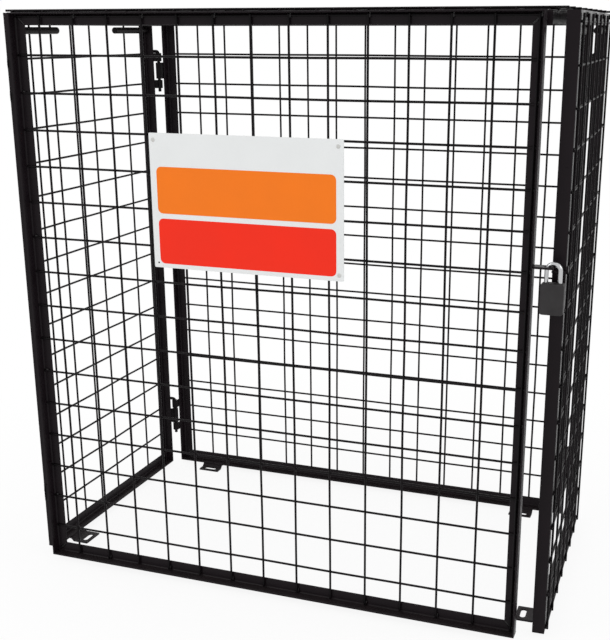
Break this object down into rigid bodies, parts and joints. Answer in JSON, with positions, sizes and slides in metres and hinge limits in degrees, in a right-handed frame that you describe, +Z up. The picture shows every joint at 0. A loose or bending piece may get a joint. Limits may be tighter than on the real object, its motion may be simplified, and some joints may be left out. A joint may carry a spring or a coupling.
{
  "type": "gas cylinder cage",
  "caption": "Black welded-mesh cage for gas cylinders: angle-iron panels joined by loose pins, lift-on mesh roof and a padlocked mesh door",
  "frame": {"origin": "on the floor, under the middle of the bounding box", "axes": "+X to the right seen from the front, the lock side; +Y to the back; +Z up; the door faces -Y"},
  "size_m": [1.2192, 0.6774, 1.254],
  "materials": {
    "black_powder_coat": "gloss black powder coat on mild steel",
    "zinc_pins": "blackened steel rod",
    "sign_white": "white rigid plastic sheet with colour blocks",
    "padlock_grey": "dark grey coated padlock body",
    "padlock_chrome": "chrome-plated shackle rod"
  },
  "bodies": {
    "cage": {"left_front_post": "black_powder_coat", "left_back_post": "black_powder_coat", "left_top_rail": "black_powder_coat", "left_bottom_rail": "black_powder_coat", "left_mesh": "black_powder_coat", "right_front_post": "black_powder_coat", "right_back_post": "black_powder_coat", "right_top_rail": "black_powder_coat", "right_bottom_rail": "black_powder_coat", "right_mesh": "black_powder_coat", "back_left_post": "black_powder_coat", "back_right_post": "black_powder_coat", "back_top_rail": "black_powder_coat", "back_bottom_rail": "black_powder_coat", "back_mesh": "black_powder_coat", "roof_front_rail": "black_powder_coat", "roof_back_rail": "black_powder_coat", "roof_left_rail": "black_powder_coat", "roof_right_rail": "black_powder_coat", "roof_mesh": "black_powder_coat", "left_rear_knuckles": "black_powder_coat", "right_rear_knuckles": "black_powder_coat", "back_left_knuckles": "black_powder_coat", "back_right_knuckles": "black_powder_coat", "left_front_knuckles": "black_powder_coat", "rear_pins": "zinc_pins", "door_pins": "zinc_pins", "left_floor_tab": "black_powder_coat", "right_floor_tab": "black_powder_coat", "back_floor_tabs": "black_powder_coat", "left_top_bars": "black_powder_coat", "right_top_bars": "black_powder_coat", "post_lug": "black_powder_coat"},
    "door": {"door_left_stile": "black_powder_coat", "door_right_stile": "black_powder_coat", "door_top_rail": "black_powder_coat", "door_bottom_rail": "black_powder_coat", "door_mesh": "black_powder_coat", "door_knuckles": "black_powder_coat", "sign_plate": "sign_white", "door_lug": "black_powder_coat", "padlock_body": "padlock_grey", "padlock_shackle": "padlock_chrome"}
  },
  "joints": [
    {"name": "door_hinge", "type": "hinge", "parent": "cage", "child": "door", "pos_m": [-0.56911, -0.30525, 0.63], "axis": [0, 0, -1], "range_deg": [0, 105]}
  ]
}
